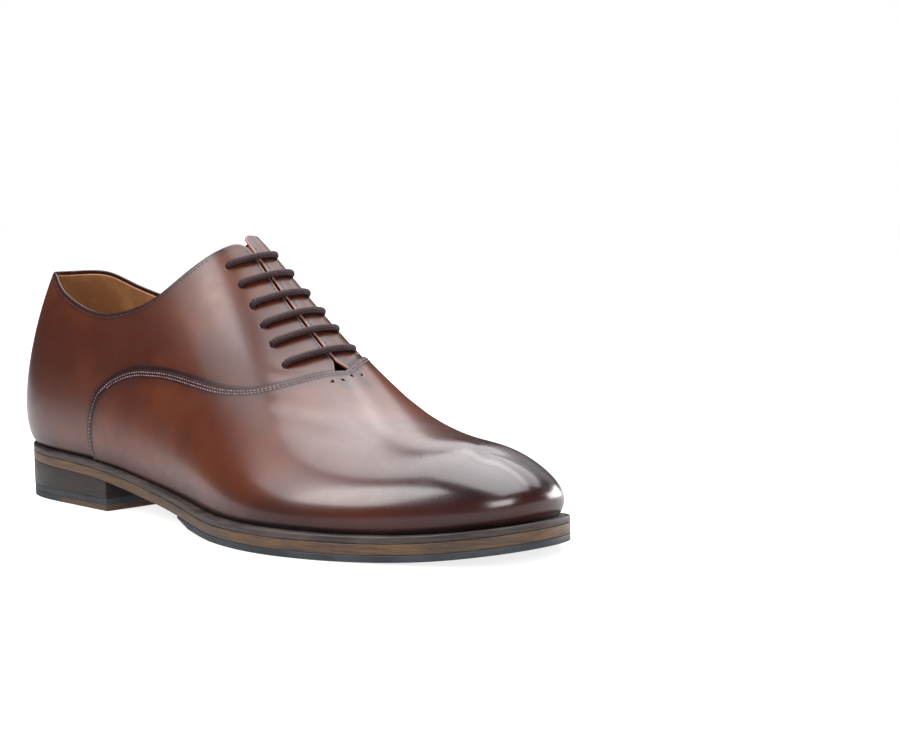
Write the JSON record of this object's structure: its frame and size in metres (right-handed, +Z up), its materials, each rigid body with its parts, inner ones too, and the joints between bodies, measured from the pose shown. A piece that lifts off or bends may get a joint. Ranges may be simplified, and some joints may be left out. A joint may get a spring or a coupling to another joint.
{
  "type": "oxford shoe",
  "caption": "Plain-toe lace-up leather dress shoe for the right foot, with closed lacing, a welted leather sole, a rubber half sole and a low stacked heel.",
  "frame": {"origin": "centre of the heel's base, on the floor", "axes": "+X to the toe, +Y to the inner side of the foot, +Z up"},
  "size_m": [0.3096, 0.1052, 0.1139],
  "materials": {
    "upper_leather": "polished, burnished",
    "tongue_leather": "smooth",
    "insole_leather": "smooth",
    "welt_leather": "waxed",
    "outsole_leather": "waxed edge",
    "half_sole_rubber": "matte",
    "heel_leather": "waxed edge",
    "top_piece_rubber": "matte",
    "insert_leather": "waxed edge",
    "lace_cord": "waxed round cord"
  },
  "bodies": {
    "root": {"upper": "upper_leather", "tongue": "tongue_leather", "insole": "insole_leather", "welt": "welt_leather", "outsole": "outsole_leather", "half_sole": "half_sole_rubber", "heel_stack": "heel_leather", "top_piece": "top_piece_rubber", "top_piece_insert": "insert_leather", "lace": "lace_cord"}
  },
  "joints": []
}
